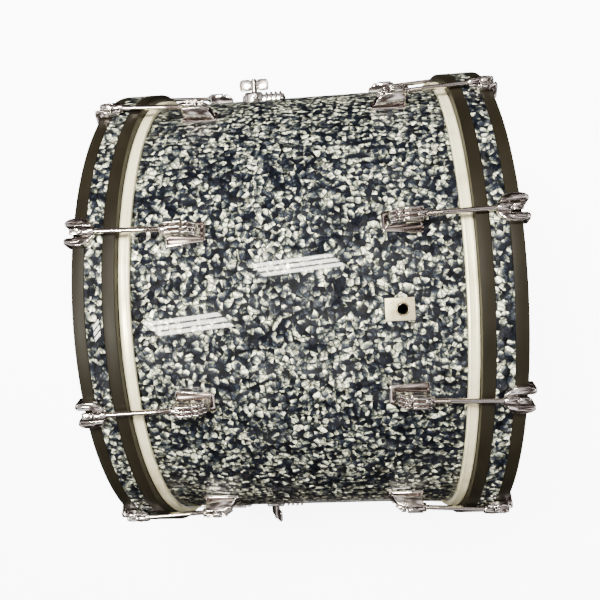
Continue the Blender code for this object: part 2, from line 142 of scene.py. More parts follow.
class Paint:
    """One procedural material round a Principled shader."""

    def __init__(self, name, **constants):
        self.material = bpy.data.materials.new(name)
        self.material.use_nodes = True
        self.tree = self.material.node_tree
        self.shader = self.tree.nodes["Principled BSDF"]
        for socket, value in constants.items():
            self.shader.inputs[socket.replace("_", " ")].default_value = value

    def node(self, kind, settings=None, sockets=None, output=0):
        made = self.tree.nodes.new(kind)
        for key, value in (settings or {}).items():
            if key == "stops":
                fill_ramp(made.color_ramp, value)
            else:
                setattr(made, key, value)
        for key, value in (sockets or {}).items():
            self.feed(made.inputs[key], value)
        return Flow(self, made.outputs[output])

    def feed(self, socket, value):
        if isinstance(value, Flow):
            self.tree.links.new(value.socket, socket)
        else:
            socket.default_value = value

    def drive(self, socket, value):
        self.feed(self.shader.inputs[socket], value)

    def place(self):
        return self.node("ShaderNodeTexCoord", output="Object")

    def mapped(self, **sockets):
        return self.node("ShaderNodeMapping", {"vector_type": "POINT"},
                         {"Vector": self.place(), **sockets})

    def noise(self, scale, detail=2.0, vector=None, output="Fac"):
        where = vector or self.place()
        return self.node("ShaderNodeTexNoise", {"noise_dimensions": "3D"}, {
            "Vector": where, "Scale": scale, "Detail": detail}, output)

    def cells(self, scale, vector, feature="F1", output="Color"):
        return self.node("ShaderNodeTexVoronoi", {"feature": feature}, {
            "Vector": vector, "Scale": scale}, output)

    def vectors(self, operation, first, second=(0.0, 0.0, 0.0), output=0):
        return self.node("ShaderNodeVectorMath", {"operation": operation},
                         {0: first, 1: second}, output)

    def scaled(self, vector, amount):
        return self.node("ShaderNodeVectorMath", {"operation": "SCALE"},
                         {0: vector, "Scale": amount})

    def tone(self, color):
        return self.node("ShaderNodeSeparateColor", {}, {0: color})

    def mix(self, factor, first, second, blend="MIX"):
        return self.node("ShaderNodeMix", {"data_type": "RGBA", "blend_type": blend},
                         {0: factor, 6: first, 7: second}, 2)

    def ramp(self, value, stops):
        return self.node("ShaderNodeValToRGB", {"stops": stops}, {"Fac": value})

    def band(self, value, low, high, to_low=0.0, to_high=1.0):
        return self.node("ShaderNodeMapRange", {}, {
            "Value": value, "From Min": low, "From Max": high,
            "To Min": to_low, "To Max": to_high})

    def bump(self, height, strength, distance):
        return self.node("ShaderNodeBump", {}, {
            "Height": height, "Strength": strength, "Distance": distance})


def pearl(name, looks, turn):
    """Crumpled pearl foil in navy, slate and silver under a clear gloss coat, with painted shading
    across each flake and painted shade in the creases between flakes.
    """
    paint = Paint(name, Coat_Weight=0.4, Coat_Roughness=0.03, Coat_IOR=1.45,
                  Specular_IOR_Level=0.1)
    where = paint.mapped(Rotation=(0.3, 0.2, turn))
    wobble = paint.noise(60.0, 3.0, where, "Color")
    middle = (0.5, 0.5, 0.5)
    drift = paint.scaled(paint.vectors("SUBTRACT", wobble, middle), 0.006)
    bent = paint.vectors("ADD", where, drift)
    coarse = 1.0 / looks.flake_size
    fine = coarse * 1.9
    tiny = fine * 2.3
    large = paint.cells(coarse, bent)
    small = paint.cells(fine, bent)
    home = paint.cells(fine, bent, output="Position")
    away = paint.vectors("SUBTRACT", bent, home)
    lean = paint.vectors("SUBTRACT", small, middle)
    slope = paint.vectors("DOT_PRODUCT", away, lean, "Value")
    fold = paint.cells(coarse * 1.3, bent, "DISTANCE_TO_EDGE", "Distance")
    streak = paint.noise(420.0, 3.0, bent)
    patches = paint.noise(13.0, 2.0, where)
    # The slope term is painted shading: each flake is lighter on one side and darker on the other,
    # as a tilted facet would be lit.
    light = (paint.tone(large) * 0.28 + paint.tone(small) * 0.34
             + paint.tone(paint.cells(tiny, bent)) * 0.20 + streak * 0.20
             + slope * (fine * 1.5) + patches * 0.34)
    color = paint.ramp(light, [
        (0.44, looks.pearl_dark[:]), (0.60, (0.019, 0.023, 0.032)), (0.74, (0.092, 0.102, 0.086)),
        (0.86, (0.370, 0.378, 0.262)), (0.98, looks.pearl_light[:])])
    edge = paint.cells(fine, bent, "DISTANCE_TO_EDGE", "Distance")
    crumple = paint.cells(tiny, bent, "DISTANCE_TO_EDGE", "Distance")
    # Painted shade: the base colour is darkened along the creases between flakes, at three flake
    # sizes.
    painted_crease_shade = paint.band(fold, 0.0, 0.10, 0.05, 1.0) * paint.band(edge, 0.0, 0.09, 0.08, 1.0)
    painted_crease_shade = painted_crease_shade * paint.band(crumple, 0.0, 0.10, 0.12, 1.0)
    shade = paint.node("ShaderNodeCombineColor", {}, {0: painted_crease_shade, 1: painted_crease_shade, 2: painted_crease_shade})
    paint.drive("Base Color", paint.mix(1.0, color, shade, "MULTIPLY"))
    tilt = paint.scaled(lean, 0.60)
    facing = paint.node("ShaderNodeNewGeometry", output="Normal")
    paint.drive("Normal", paint.vectors("NORMALIZE", paint.vectors("ADD", facing, tilt)))
    paint.drive("Roughness", paint.band(light, 0.4, 1.0, 0.55, 0.34))
    paint.drive("Metallic", paint.band(light, 0.5, 1.0, 0.05, 0.25))
    return paint.material


def chrome(name, tint, wear, roughness=0.07):
    """Bright plating with fine handling marks and a faint haze."""
    paint = Paint(name, Metallic=1.0)
    haze = paint.noise(45.0, 4.0)
    marks = paint.noise(900.0, 2.0)
    pale = (*tint, 1.0)
    dull = (tint[0] * 0.72, tint[1] * 0.70, tint[2] * 0.68, 1.0)
    paint.drive("Base Color", paint.mix(paint.band(haze, 0.50, 0.75, 0.0, wear), pale, dull))
    paint.drive("Roughness", paint.band(haze, 0.3, 0.75, roughness, roughness + 0.12 * wear))
    paint.drive("Normal", paint.bump(marks, 0.02 * wear, 0.0001))
    return paint.material


def lacquer(name, looks):
    """Satin black lacquer over wood, with a brown cast and rubbed patches."""
    paint = Paint(name, Specular_IOR_Level=0.13)
    cloud = paint.noise(14.0, 5.0)
    grain = paint.noise(1.0, 6.0, paint.mapped(Scale=(260.0, 18.0, 18.0)))
    dark = (*looks.hoop_black[:], 1.0)
    rubbed = tuple(channel * 1.55 for channel in looks.hoop_black) + (1.0,)
    base = paint.mix(paint.band(cloud, 0.42, 0.72), dark, rubbed)
    paint.drive("Base Color", base)
    paint.drive("Roughness", paint.band(cloud, 0.3, 0.7, 0.36, 0.50))
    paint.drive("Normal", paint.bump(grain, 0.10, 0.0003))
    return paint.material


def film(name, color):
    """Coated drumhead: a fine sprayed grain over milky film."""
    paint = Paint(name, Specular_IOR_Level=0.35)
    cloud = paint.noise(9.0, 3.0)
    grain = paint.noise(1500.0, 2.0)
    tired = tuple(channel * 0.90 for channel in color) + (1.0,)
    paint.drive("Base Color", paint.mix(paint.band(cloud, 0.35, 0.75), (*color, 1.0), tired))
    paint.drive("Roughness", paint.band(cloud, 0.3, 0.7, 0.48, 0.62))
    paint.drive("Normal", paint.bump(grain, 0.25, 0.0002))
    return paint.material


def rolled_metal(name, color):
    """Rolled aluminium with drawn lines round the ring and a little tarnish."""
    paint = Paint(name, Metallic=0.45)
    drawn = paint.noise(1.0, 2.0, paint.mapped(Scale=(1800.0, 30.0, 30.0)))
    tarnish = paint.noise(35.0, 5.0)
    brown = (color[0] * 0.62, color[1] * 0.56, color[2] * 0.44, 1.0)
    paint.drive("Base Color", paint.mix(paint.band(tarnish, 0.48, 0.78, 0.0, 0.8),
                                        (*color, 1.0), brown))
    paint.drive("Roughness", paint.band(drawn, 0.3, 0.7, 0.26, 0.42))
    paint.drive("Normal", paint.bump(drawn, 0.15, 0.0002))
    return paint.material


def brushed_brass(name, color):
    """Brushed plate with grain along its length."""
    paint = Paint(name, Metallic=0.75)
    grain = paint.noise(1.0, 3.0, paint.mapped(Scale=(60.0, 2600.0, 60.0)))
    age = paint.noise(160.0, 4.0)
    aged = (color[0] * 0.70, color[1] * 0.60, color[2] * 0.42, 1.0)
    paint.drive("Base Color", paint.mix(paint.band(age, 0.45, 0.80), (*color, 1.0), aged))
    paint.drive("Roughness", paint.band(grain, 0.3, 0.7, 0.28, 0.44))
    paint.drive("Normal", paint.bump(grain, 0.20, 0.0002))
    return paint.material


def rubber(name):
    """Moulded black rubber with dust in its grain."""
    paint = Paint(name)
    dust = paint.noise(60.0, 5.0)
    grain = paint.noise(1100.0, 3.0)
    paint.drive("Base Color", paint.mix(paint.band(dust, 0.50, 0.80, 0.0, 0.6),
                                        (0.022, 0.022, 0.024, 1.0), (0.085, 0.080, 0.074, 1.0)))
    paint.drive("Roughness", paint.band(dust, 0.3, 0.7, 0.68, 0.85))
    paint.drive("Normal", paint.bump(grain, 0.30, 0.0003))
    return paint.material


def floor_paint(name):
    """Pale seamless studio floor with the slightest mottling."""
    paint = Paint(name, Emission_Color=(1.0, 1.0, 1.0, 1.0), Emission_Strength=BACKDROP)
    cloud = paint.noise(1.5, 3.0)
    paint.drive("Base Color", paint.mix(cloud, (0.86, 0.86, 0.86, 1.0), (0.90, 0.90, 0.90, 1.0)))
    paint.drive("Roughness", paint.band(cloud, 0.3, 0.7, 0.60, 0.70))
    return paint.material


def finish_for(slot, looks):
    """The material of a slot, made the first time that it is asked for."""
    name = slot + "_finish"
    made = bpy.data.materials.get(name)
    if made:
        return made
    recipes = {
        "pearl_wrap": lambda: pearl(name, looks, 0.0),
        "pearl_inlay": lambda: pearl(name, looks, 0.9),
        "black_lacquer": lambda: lacquer(name, looks),
        "head_film": lambda: film(name, looks.film_color[:]),
        "flesh_hoop_metal": lambda: rolled_metal(name, (0.88, 0.80, 0.50)),
        # The warm brown cast of these two plating tints is painted reflection of reddish
        # surroundings, not the plating's own colour.
        "cast_chrome": lambda: chrome(name, (0.66, 0.60, 0.57), looks.plating_wear),
        "plated_steel": lambda: chrome(name, (0.64, 0.58, 0.55), looks.plating_wear, 0.12),
        "badge_brass": lambda: brushed_brass(name, looks.badge_color[:]),
        "vent_chrome": lambda: chrome(name, (0.66, 0.56, 0.38), looks.plating_wear, 0.22),
        "black_rubber": lambda: rubber(name),
    }
    return recipes[slot]()


# ---------------------------------------------------------------- mesh tools

def soften(work, width, segments=3, angle=30.0):
    """Bevel the edges that turn by more than the angle."""
    bmesh.ops.remove_doubles(work, verts=work.verts, dist=MERGE)
    sharp = [edge for edge in work.edges
             if edge.is_manifold and edge.calc_face_angle() > radians(angle)]
    bmesh.ops.bevel(work, geom=sharp, offset=width, offset_type="OFFSET", segments=segments,
                    affect="EDGES", profile=0.5, material=-1, clamp_overlap=True)


def revolve(points, closed, centre, axis, steps):
    """Spin a chain of points a full turn, joined end to start where it is closed."""
    work = bmesh.new()
    spots = [work.verts.new(point) for point in points]
    edges = [work.edges.new(pair) for pair in zip(spots, spots[1:])]
    if closed:
        edges.append(work.edges.new((spots[-1], spots[0])))
    bmesh.ops.spin(work, geom=spots + edges, cent=centre, axis=axis, angle=2 * pi, steps=steps,
                   use_merge=True, use_duplicate=False)
    bmesh.ops.remove_doubles(work, verts=work.verts, dist=MERGE)
    bmesh.ops.recalc_face_normals(work, faces=work.faces)
    return work


def ring(profile, steps, width=0.0):
    """Spin (place along X, radius) points round the drum's axis."""
    points = [(x, 0.0, AXIS_Z + r) for x, r in profile]
    work = revolve(points, profile[0][1] > GAP, (0.0, 0.0, AXIS_Z), (1.0, 0.0, 0.0), steps)
    if width:
        soften(work, width, 3, 20.0)
    return work


def box(low, high, width=0.0, segments=3):
    """A block between two corners."""
    work = bmesh.new()
    low, high = Vector(low), Vector(high)
    place = Matrix.Translation((low + high) / 2) @ Matrix.Diagonal((*(high - low), 1.0))
    bmesh.ops.create_cube(work, size=1.0, matrix=place)
    if width:
        soften(work, width, segments)
    return work


def aimed(place, run):
    """A frame at a place, with its Z along a direction."""
    return Matrix.Translation(place) @ run.to_track_quat("Z", "Y").to_matrix().to_4x4()


def bar(start, end, radius, last=None, segments=32, width=0.0):
    """A round bar or cone between two points."""
    work = bmesh.new()
    start, end = Vector(start), Vector(end)
    run = end - start
    place = aimed((start + end) / 2, run)
    bmesh.ops.create_cone(work, cap_ends=True, segments=segments, radius1=radius,
                          radius2=radius if last is None else last, depth=run.length, matrix=place)
    if width:
        soften(work, width, 3, 40.0)
    return work


def slab(outline, thickness, frame_turn, width, segments=3):
    """Extrude an outline in the local XY plane to a closed plate with soft edges."""
    work = bmesh.new()
    face = work.faces.new([work.verts.new((x, y, -thickness / 2)) for x, y in outline])
    grown = bmesh.ops.extrude_face_region(work, geom=[face])
    moved = [item for item in grown["geom"] if isinstance(item, bmesh.types.BMVert)]
    bmesh.ops.translate(work, verts=moved, vec=(0.0, 0.0, thickness))
    bmesh.ops.recalc_face_normals(work, faces=work.faces)
    soften(work, width, segments)
    bmesh.ops.transform(work, matrix=frame_turn, verts=work.verts)
    return work


def turned(profile, place, steps=32, width=0.0):
    """Spin (height, radius) points round local Z and put the solid in its place."""
    points = [(r, 0.0, z) for z, r in profile]
    work = revolve(points, profile[0][1] > GAP, (0.0, 0.0, 0.0), (0.0, 0.0, 1.0), steps)
    if width:
        soften(work, width, 2, 35.0)
    bmesh.ops.transform(work, matrix=place, verts=work.verts)
    return work


def gather(solids):
    """Put several solids into one mesh."""
    whole = bmesh.new()
    for solid in solids:
        step = bpy.data.meshes.new("step")
        solid.to_mesh(step)
        solid.free()
        whole.from_mesh(step)
        bpy.data.meshes.remove(step)
    return whole


def settle(name, work, slot, looks, body="drum", stands_for=(), place=None):
    """Turn a finished bmesh into a piece with its finish, body and replaced nodes."""
    if place is not None:
        bmesh.ops.transform(work, matrix=place, verts=work.verts)
    mesh = bpy.data.meshes.new(name)
    work.to_mesh(mesh)
    work.free()
    mesh.shade_smooth()
    mesh.set_sharp_from_angle(angle=radians(38))
    mesh.materials.append(finish_for(slot, looks))
    piece = bpy.data.objects.new(name, mesh)
    bpy.context.scene.collection.objects.link(piece)
    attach(piece, body)
    if stands_for:
        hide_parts(*stands_for)
    return piece


def carve(piece, tool):
    """Cut a closed bmesh out of a piece and apply the cut."""
    mesh = bpy.data.meshes.new("tool")
    tool.to_mesh(mesh)
    tool.free()
    cutter = bpy.data.objects.new("tool", mesh)
    bpy.context.scene.collection.objects.link(cutter)
    cut = piece.modifiers.new("cut", "BOOLEAN")
    cut.operation = "DIFFERENCE"
    cut.solver = "EXACT"
    cut.use_self = True
    cut.object = cutter
    bpy.context.view_layer.update()
    graph = bpy.context.evaluated_depsgraph_get()
    carved = bpy.data.meshes.new_from_object(piece.evaluated_get(graph))
    carved.set_sharp_from_angle(angle=radians(30))
    piece.modifiers.clear()
    piece.data = carved
    bpy.data.objects.remove(cutter, do_unlink=True)


def station(side, index):
    """Frame of a rod's place: X out along the axis, Y along the rim, Z outwards."""
    angle = 2 * pi / RODS * (index - 0.5)
    facing = Matrix.Rotation(0 if side > 0 else pi, 4, "Z")
    return Matrix.Translation((0, 0, AXIS_Z)) @ Matrix.Rotation(-angle, 4, "X") @ facing


def rod_line():
    """Place along X, radius and rise per metre of a rod's centre line, at its joint."""
    joint = JOINTS["batter_rod_turn_01"]
    x, y, z = joint["pos_m"]
    start = (y * y + (z - AXIS_Z) ** 2) ** 0.5
    along, side, up = joint["axis"]
    return x, start, (side * side + up * up) ** 0.5 / along


ROD_X, ROD_START, ROD_RISE = rod_line()


def rod_height(x):
    return ROD_START + (x - ROD_X) * ROD_RISE


# ---------------------------------------------------------------- settings

class DrumLooks(bpy.types.PropertyGroup):
    """Sizes and colours of the drum's finishes."""

    flake_size: FloatProperty(
        name="Flake Size", description="Width of a pearl flake", default=0.0135,
        min=0.002, unit="LENGTH")
    pearl_dark: FloatVectorProperty(
        name="Pearl Dark", description="Deepest colour between the flakes",
        default=(0.003, 0.004, 0.007), subtype="COLOR")
    pearl_light: FloatVectorProperty(
        name="Pearl Light", description="Brightest flake colour",
        default=(0.950, 0.945, 0.690), subtype="COLOR")
    hoop_black: FloatVectorProperty(
        name="Hoop Black", description="Lacquer of the hoops",
        default=(0.0056, 0.0045, 0.0025), subtype="COLOR")
    film_color: FloatVectorProperty(
        name="Head Film", description="Colour of both drumheads",
        default=(0.840, 0.830, 0.790), subtype="COLOR")
    badge_color: FloatVectorProperty(
        name="Badge", description="Colour of the badge plate",
        default=(0.640, 0.570, 0.350), subtype="COLOR")
    plating_wear: FloatProperty(
        name="Plating Wear", description="How hazy the plated parts are",
        default=0.6, min=0.0, max=1.0, subtype="FACTOR")
    smoothness: IntProperty(
        name="Ring Steps", description="Facets round the shell and hoops",
        default=240, min=60, max=360)


class DrumStage(bpy.types.PropertyGroup):
    """Camera and light of the studio."""

    camera_place: FloatVectorProperty(
        name="Camera Place", description="Where the camera stands, over the drum",
        default=(0.0482, 0.0417, 1.1757), subtype="TRANSLATION", unit="LENGTH")
    camera_turn: FloatVectorProperty(
        name="Camera Turn", description="Tilt, yaw and roll from straight down",
        default=(radians(-2.865), radians(4.001), radians(-2.988)), subtype="EULER",
        unit="ROTATION")
    lens: FloatProperty(name="Lens", description="Focal length in millimetres", default=36.6)
    lamp_power: FloatProperty(
        name="Lamp Power", description="Power of the key softbox in watts", default=330.0)
    sky_light: FloatProperty(
        name="Sky Light", description="Strength of the surrounding light", default=0.85)


# ---------------------------------------------------------------- operators

class DRUM_OT_shell(bpy.types.Operator):
    """Turn the wrapped shell with its bearing edges and cut the vent hole"""
    bl_idname = "drum.shell"
    bl_label = "Shell"

    def execute(self, context):
        looks = context.scene.drum_looks
        inner = SHELL_R - SHELL_WALL
        edge = HALF_DEPTH - 0.0019
        slope = HALF_DEPTH - 0.0055
        near = 0.0105
        profile = [
            (-edge, SHELL_R), (VENT_X - near, SHELL_R), (VENT_X + near, SHELL_R),
            (edge, SHELL_R), (HALF_DEPTH, SHELL_R - 0.0019),
            (slope, inner), (-slope, inner), (-HALF_DEPTH, SHELL_R - 0.0019)]
        shell = settle("shell_wrap", ring(profile, looks.smoothness, 0.0006), "pearl_wrap", looks,
                       stands_for=["shell"])
        top = AXIS_Z + SHELL_R
        carve(shell, bar((VENT_X, 0, top - 0.02), (VENT_X, 0, top + 0.01), VENT_HOLE_R))
        return {"FINISHED"}


class DRUM_OT_heads(bpy.types.Operator):
    """Turn both drumheads with their collars and the rolled flesh hoops"""
    bl_idname = "drum.heads"
    bl_label = "Heads"

    def execute(self, context):
        looks = context.scene.drum_looks
        face = HEAD_HIGH[0]
        seat = face - FILM
        foot = HEAD_LOW[0]
        bend = 0.0040
        film_profile = [
            (face, 0.0), (face, HEAD_R - bend), (face - 0.0012, HEAD_R - 0.0014),
            (face - bend, HEAD_R), (foot, HEAD_R), (foot, HEAD_R - FILM * 0.6),
            (seat - bend, HEAD_R - FILM * 0.6), (seat, HEAD_R - bend), (seat, 0.0)]
        inner = FLESH_R - 0.0050
        low, high = FLESH_LOW[0], FLESH_HIGH[0]
        bead = 0.0022
        flesh_profile = [
            (low, inner), (low, FLESH_R - 0.0008), (low + bead, FLESH_R),
            (low + bead + 0.0008, FLESH_R - 0.0007), (high - bead - 0.0008, FLESH_R - 0.0007),
            (high - bead, FLESH_R), (high, FLESH_R - 0.0008), (high, inner)]
        for label, side in ENDS.items():
            skin = ring([(side * x, r) for x, r in film_profile], looks.smoothness)
            settle(label + "_head_film", skin, "head_film", looks,
                   stands_for=[label + "_head"])
            metal = ring([(side * x, r) for x, r in flesh_profile], looks.smoothness, 0.0004)
            settle(label + "_flesh_ring", metal, "flesh_hoop_metal", looks,
                   stands_for=[label + "_flesh_hoop"])
        return {"FINISHED"}


class DRUM_OT_hoops(bpy.types.Operator):
    """Turn the lacquered wood hoops and the pearl strips let into them"""
    bl_idname = "drum.hoops"
    bl_label = "Hoops and Inlays"

    def execute(self, context):
        looks = context.scene.drum_looks
        low, high = INLAY_LOW[0], INLAY_HIGH[0]
        floor = HOOP_R - 0.0013
        inner = HOOP_R - HOOP_WALL
        hoop_profile = [
            (HOOP_START, inner), (HOOP_START, HOOP_R), (low - GAP, HOOP_R), (low - GAP, floor),
            (high + GAP, floor), (high + GAP, HOOP_R), (HOOP_END, HOOP_R), (HOOP_END, inner)]
        top = HOOP_R - 0.0001
        strip_profile = [(low, floor + 0.0002), (low, top), (high, top), (high, floor + 0.0002)]
        for label, side in ENDS.items():
            wood = ring([(side * x, r) for x, r in hoop_profile], looks.smoothness, 0.0007)
            settle(label + "_hoop_wood", wood, "black_lacquer", looks,
                   stands_for=[label + "_hoop"])
            strip = ring([(side * x, r) for x, r in strip_profile], looks.smoothness, 0.0002)
            settle(label + "_inlay_strip", strip, "pearl_inlay", looks,
                   stands_for=[label + "_hoop_inlay"])
        return {"FINISHED"}


class DRUM_OT_claws(bpy.types.Operator):
    """Shape the hooked claws that pull the hoops down"""
    bl_idname = "drum.claws"
    bl_label = "Claws"

    def claw(self):
        under = HOOP_R + GAP
        top = under + 0.0070
        drop = HOOP_R - 0.0098
        lip = HOOP_END + GAP
        nose = CLAW_START - 0.0014
        flat = Matrix.Translation((0, 0, (under + top) / 2))
        arm = [
            (nose + 0.0030, 0.0050), (nose + 0.0046, 0.0100), (nose + 0.0085, 0.0134),
            (nose + 0.0150, 0.0149), (CLAW_END - 0.0100, 0.0147), (CLAW_END - 0.0056, 0.0137),
            (CLAW_END - 0.0026, 0.0120), (CLAW_END - 0.0012, 0.0100), (CLAW_END - 0.0018, 0.0078),
            (CLAW_END - 0.0042, 0.0062), (ROD_SEAT + 0.0040, 0.0058), (ROD_SEAT, 0.0058)]
        groove = [
            (ROD_SEAT - 0.0010, 0.0094), (ROD_SEAT + 0.0020, 0.0114), (CLAW_END - 0.0060, 0.0118),
            (CLAW_END - 0.0036, 0.0104), (CLAW_END - 0.0060, 0.0092)]
        raised = Matrix.Translation((0, 0, top + 0.0002))
        solids = []
        for hand in (-1, 1):
            solids.append(slab([(x, hand * y) for x, y in arm], top - under, flat, 0.0018, 4))
            solids.append(slab([(x, hand * y) for x, y in groove], 0.0012, raised, 0.0005, 2))
            y_low, y_high = sorted((hand * 0.0066, hand * 0.0126))
            solids.append(box((lip, y_low, drop), (CLAW_END - 0.0010, y_high, top - 0.0018),
                              0.0015, 4))
        web = [
            (nose, -0.0040), (nose + 0.0016, -0.0072), (nose + 0.0060, -0.0112),
            (ROD_SEAT, -0.0112), (ROD_SEAT, 0.0112), (nose + 0.0060, 0.0112),
            (nose + 0.0016, 0.0072), (nose, 0.0040)]
        solids.append(slab(web, top - under - 0.0018, flat, 0.0014, 3))
        x_low, x_high = nose - 0.0001, ROD_SEAT
        solids.append(bar((x_low, 0, rod_height(x_low)), (x_high, 0, rod_height(x_high)),
                          0.0050, 0.0053, 32, 0.0014))
        return gather(solids)

    def execute(self, context):
        looks = context.scene.drum_looks
        for label, side in ENDS.items():
            for index in range(1, RODS + 1):
                settle("%s_claw_%02d" % (label, index), self.claw(), "cast_chrome", looks,
                       place=station(side, index))
        return {"FINISHED"}


class DRUM_OT_lugs(bpy.types.Operator):
    """Shape the cast lugs: dished base, ribbed ridge and rod collar"""
    bl_idname = "drum.lugs"
    bl_label = "Lugs"

    def lug(self):
        base = SHELL_R + GAP
        crown = rod_height(LUG_END) + ROD_R + 0.0028
        half = 0.0142
        rim = base + 0.0036
        foot = [
            (LUG_TAIL + 0.0006, -half * 0.62), (LUG_TAIL + 0.0024, -half * 0.74),
            (LUG_END - 0.0014, -half), (LUG_END, -half * 0.92), (LUG_END, half * 0.92),
            (LUG_END - 0.0014, half), (LUG_TAIL + 0.0024, half * 0.74),
            (LUG_TAIL + 0.0006, half * 0.62)]
        plate = slab(foot, rim - base, Matrix.Translation((0, 0, (base + rim) / 2)), 0.0007, 2)
        lid = max(plate.faces, key=lambda face: face.calc_center_median().z)
        bmesh.ops.inset_individual(plate, faces=[lid], thickness=0.0012, depth=-0.0026)
        slope = [
            (LUG_TAIL + 0.0030, base + 0.0008), (LUG_END - 0.0006, base + 0.0008),
            (LUG_END - 0.0006, crown - 0.0062), (LUG_END - 0.0024, crown - 0.0046),
            (LUG_END - 0.0230, crown - 0.0048), (LUG_TAIL + 0.0100, crown - 0.0094)]
        upright = Matrix.Rotation(pi / 2, 4, "X")
        ridge = slab(slope, 0.0140, upright, 0.0012, 3)
        solids = [plate, ridge]
        for offset in (-0.0051, 0.0, 0.0051):
            low, high = offset - 0.0015, offset + 0.0015
            solids.append(box((LUG_END - 0.0190, low, crown - 0.0070),
                              (LUG_END - 0.0008, high, crown - 0.0004), 0.0010, 3))
            solids.append(box((LUG_END - 0.0262, low, crown - 0.0084),
                              (LUG_END - 0.0204, high, crown - 0.0018), 0.0010, 3))
            tail = (LUG_TAIL + 0.0090, offset * 0.9, crown - 0.0088)
            solids.append(bar((LUG_END - 0.0262, offset, crown - 0.0050), tail,
                              0.0015, 0.0011, 20, 0.0005))
        mouth = LUG_END + 0.0028
        solids.append(bar((LUG_END - 0.006, 0, rod_height(LUG_END - 0.006)),
                          (mouth, 0, rod_height(mouth)), 0.0056, 0.0050, 32, 0.0007))
        return gather(solids)

    def execute(self, context):
        looks = context.scene.drum_looks
        for label, side in ENDS.items():
            for index in range(1, RODS + 1):
                node = "%s_lug_%02d" % (label, index)
                settle(node + "_casting", self.lug(), "cast_chrome", looks,
                       stands_for=[node], place=station(side, index))
        return {"FINISHED"}


class DRUM_OT_rods(bpy.types.Operator):
    """Turn the tension rods with rolled threads, washers and square key heads"""
    bl_idname = "drum.rods"
    bl_label = "Tension Rods"

    def rod(self):
        seat = (ROD_SEAT + GAP - ROD_X) / cos(atan2(ROD_RISE, 1.0))
        thread_end = 0.0400
        pitch = 0.0010
        profile = [(0.0, 0.0), (0.0, ROD_R - 0.0008)]
        for turn in range(int(thread_end / pitch)):
            profile.append((pitch * (turn + 0.25), ROD_R - 0.0005))
            profile.append((pitch * (turn + 0.75), ROD_R))
        profile += [
            (thread_end + 0.001, ROD_R - 0.0002), (seat, ROD_R - 0.0002), (seat, 0.0046),
            (seat + 0.0011, 0.0046), (seat + 0.0019, 0.0036), (seat + 0.0019, 0.0)]
        shaft = turned(profile, Matrix.Identity(4), 20)
        half = KEY_WIDTH / 2
        low = seat + 0.0015
        head = box((-half, -half, low), (half, half, seat + 0.0112), 0.0007)
        return gather([shaft, head])

    def execute(self, context):
        looks = context.scene.drum_looks
        for label in ENDS:
            for index in range(1, RODS + 1):
                joint = JOINTS["%s_rod_turn_%02d" % (label, index)]
                place = aimed(joint["pos_m"], Vector(joint["axis"]))
                node = "%s_tension_rod_%02d" % (label, index)
                settle(node + "_steel", self.rod(), "plated_steel", looks,
                       body="%s_rod_%02d" % (label, index), stands_for=[node], place=place)
        return {"FINISHED"}


class DRUM_OT_badge(bpy.types.Operator):
    """Cut the plain badge plate and turn the vent grommet through it"""
    bl_idname = "drum.badge"
    bl_label = "Badge and Vent"

    def execute(self, context):
        looks = context.scene.drum_looks
        plate = box(BADGE_LOW, BADGE_HIGH, 0.0004, 3)
        piece = settle("badge_plate", plate, "badge_brass", looks, stands_for=["badge"])
        carve(piece, bar((VENT_X, 0, BADGE_LOW[2] - 0.01), (VENT_X, 0, BADGE_HIGH[2] + 0.01),
                         VENT_HOLE_R))
        low = VENT_LOW[2]
        high = VENT_HIGH[2]
        flange = high - 0.0012
        reach = (VENT_HIGH[0] - VENT_LOW[0]) / 2
        profile = [
            (low, VENT_R), (low, VENT_R + 0.0008), (flange, VENT_R + 0.0008), (flange, reach),
            (flange + 0.0005, reach), (high, reach - 0.0007), (high, VENT_R + 0.0004),
            (high - 0.0006, VENT_R)]
        ring_piece = turned(profile, Matrix.Translation((VENT_X, 0, 0)), 48, 0.0002)
        settle("vent_ring", ring_piece, "vent_chrome", looks, stands_for=["vent_grommet"])
        return {"FINISHED"}


